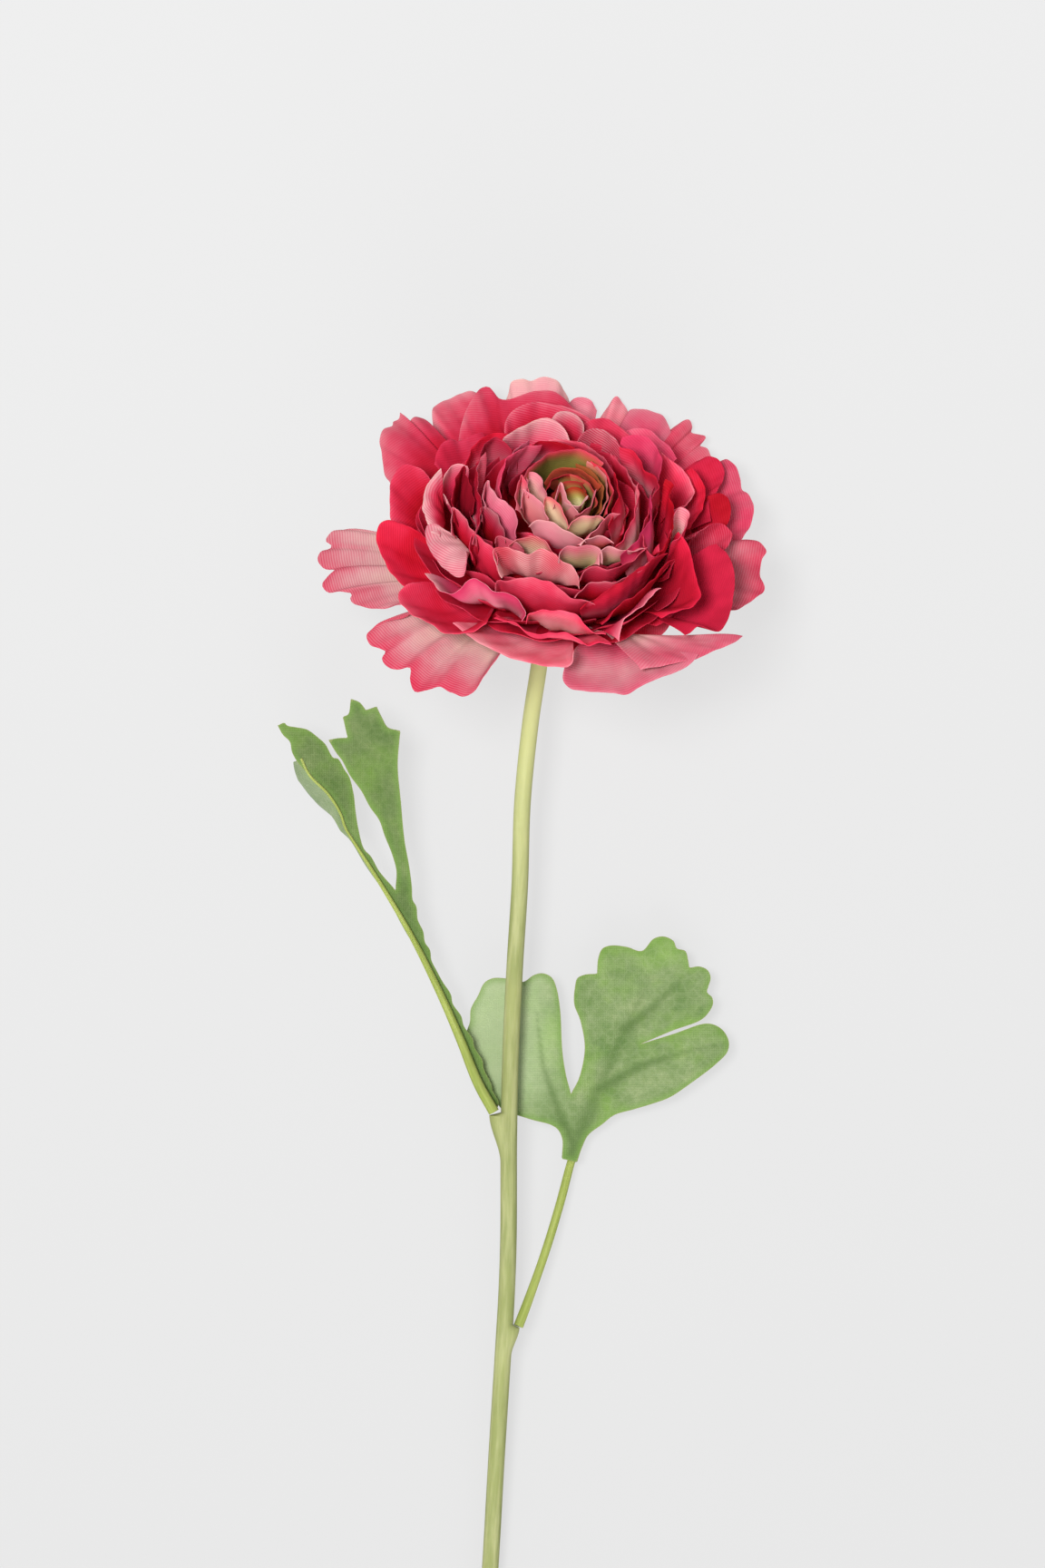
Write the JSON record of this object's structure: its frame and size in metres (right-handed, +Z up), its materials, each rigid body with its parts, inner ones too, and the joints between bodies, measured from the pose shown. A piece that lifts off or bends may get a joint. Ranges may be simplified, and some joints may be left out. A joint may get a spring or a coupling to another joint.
{
  "type": "artificial persian buttercup flower",
  "caption": "Artificial Persian buttercup lying down: ruffled pink and crimson fabric petals round a green heart, wired plastic stem and lobed fabric leaves.",
  "frame": {"origin": "on the surface that the flower lies on, below the middle of its bounding box", "axes": "+Y from the cut end of the stem to the bloom, +Z up from the surface, +X to the side of the broad leaf"},
  "size_m": [0.1078, 0.3268, 0.0632],
  "materials": {
    "pale_petal_fabric": "woven, pale pink with cream base",
    "crimson_petal_fabric": "woven, crimson",
    "ruffled_petal_fabric": "woven, pink to dark red",
    "heart_fabric": "woven, yellow-green to pink",
    "calyx_plastic": "matte green",
    "stem_plastic": "matte, pale yellow-green",
    "wire_steel": "dull",
    "leaf_fabric": "mottled green",
    "leaf_stalk_plastic": "matte olive green"
  },
  "bodies": {
    "root": {"guard_petals": "pale_petal_fabric", "crimson_petals": "crimson_petal_fabric", "ruffled_petals": "ruffled_petal_fabric", "heart": "heart_fabric", "calyx": "calyx_plastic", "stem": "stem_plastic", "stem_wire": "wire_steel", "right_leaf_blade": "leaf_fabric", "left_leaf_blade": "leaf_fabric", "right_leaf_stalk": "leaf_stalk_plastic", "left_leaf_rib": "leaf_stalk_plastic"}
  },
  "joints": []
}
